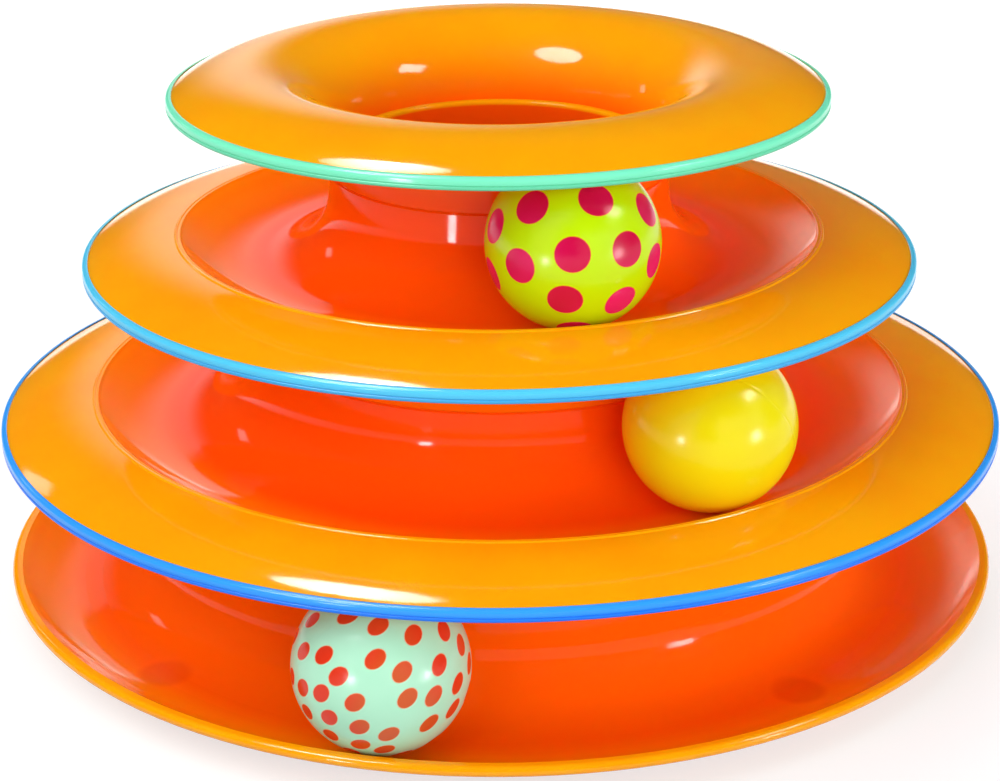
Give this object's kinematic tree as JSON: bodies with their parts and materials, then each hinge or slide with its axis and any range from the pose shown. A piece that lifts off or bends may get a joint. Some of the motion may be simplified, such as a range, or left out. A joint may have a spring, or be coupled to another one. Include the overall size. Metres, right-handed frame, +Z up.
{
  "type": "cat ball track toy",
  "caption": "Stacked ring tracks for cats: domed orange rings with coloured edging and hollow necks, loose balls that roll between the levels, rubber feet.",
  "frame": {"origin": "on the axis of the stacked rings, at the surface that the rubber feet stand on", "axes": "+Z up along the stack, -Y towards the viewer of the picture, +X to the viewer's right"},
  "size_m": [0.248, 0.248, 0.133],
  "materials": {
    "orange_plastic": "polished orange polypropylene",
    "blue_trim": "glossy blue edging",
    "light_blue_trim": "glossy light blue edging",
    "mint_trim": "glossy mint edging",
    "mint_ball": "glossy mint with orange-red printed spots",
    "yellow_ball": "glossy plain yellow",
    "lime_ball": "glossy lime with magenta printed spots",
    "foot_rubber": "matte dark rubber"
  },
  "bodies": {
    "base": {"base_track": "orange_plastic", "foot_1": "foot_rubber", "foot_2": "foot_rubber", "foot_3": "foot_rubber", "foot_4": "foot_rubber"},
    "lower_level": {"lower_track": "orange_plastic", "lower_rim_trim": "blue_trim"},
    "upper_level": {"upper_track": "orange_plastic", "upper_rim_trim": "light_blue_trim"},
    "top_level": {"top_ring": "orange_plastic", "top_rim_trim": "mint_trim"},
    "base_ball": {"base_ball_half_a": "mint_ball", "base_ball_half_b": "mint_ball"},
    "lower_ball": {"lower_ball_half_a": "yellow_ball", "lower_ball_half_b": "yellow_ball"},
    "upper_ball": {"upper_ball_half_a": "lime_ball", "upper_ball_half_b": "lime_ball"}
  },
  "joints": [
    {"name": "lower_level_lift", "type": "slide", "parent": "base", "child": "lower_level", "axis": [0, 0, 1], "range_m": [0, 0.06]},
    {"name": "upper_level_lift", "type": "slide", "parent": "lower_level", "child": "upper_level", "axis": [0, 0, 1], "range_m": [0, 0.06]},
    {"name": "top_level_lift", "type": "slide", "parent": "upper_level", "child": "top_level", "axis": [0, 0, 1], "range_m": [0, 0.06]},
    {"name": "base_ball_run", "type": "hinge", "parent": "base", "child": "base_ball", "pos_m": [0, 0, 0.02425], "axis": [0, 0, 1], "continuous": true},
    {"name": "lower_ball_run", "type": "hinge", "parent": "lower_level", "child": "lower_ball", "pos_m": [0, 0, 0.06645], "axis": [0, 0, 1], "continuous": true},
    {"name": "upper_ball_run", "type": "hinge", "parent": "upper_level", "child": "upper_ball", "pos_m": [0, 0, 0.10645], "axis": [0, 0, 1], "continuous": true}
  ]
}
